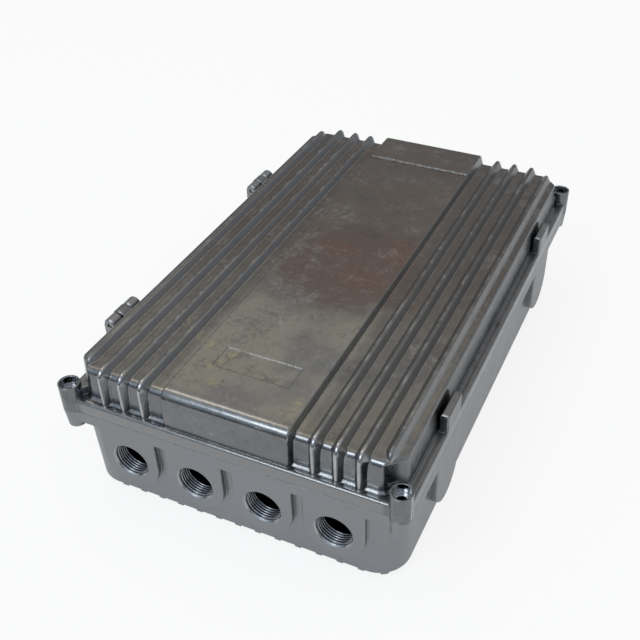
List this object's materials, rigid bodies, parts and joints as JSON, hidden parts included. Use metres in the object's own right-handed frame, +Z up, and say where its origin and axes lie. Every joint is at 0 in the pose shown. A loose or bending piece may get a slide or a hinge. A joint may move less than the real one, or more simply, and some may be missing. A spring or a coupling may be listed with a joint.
{
  "type": "die cast housing",
  "caption": "Long die cast equipment housing with a ribbed hinged lid, threaded cable ports in one end and corner screw bosses.",
  "frame": {"origin": "centre of the underside, on the plane that the foot ribs stand on", "axes": "+Z up through the lid, +Y along the length away from the cable ports, +X towards the side with the grip lugs, hinges on the -X side"},
  "size_m": [0.2118, 0.3128, 0.0882],
  "materials": {
    "cast_base": "as cast, matte grey",
    "cast_lid": "as cast, semi-gloss, mottled and lightly stained",
    "seal_rubber": "matte",
    "pin_steel": "drawn"
  },
  "bodies": {
    "base": {"base": "cast_base", "hinge_pin_front": "pin_steel", "hinge_pin_rear": "pin_steel"},
    "lid": {"lid": "cast_lid", "seal": "seal_rubber"}
  },
  "joints": [
    {"name": "lid_hinge", "type": "hinge", "parent": "base", "child": "lid", "pos_m": [-0.1075, 0, 0.0675], "axis": [0, -1, 0], "range_deg": [0, 180]}
  ]
}
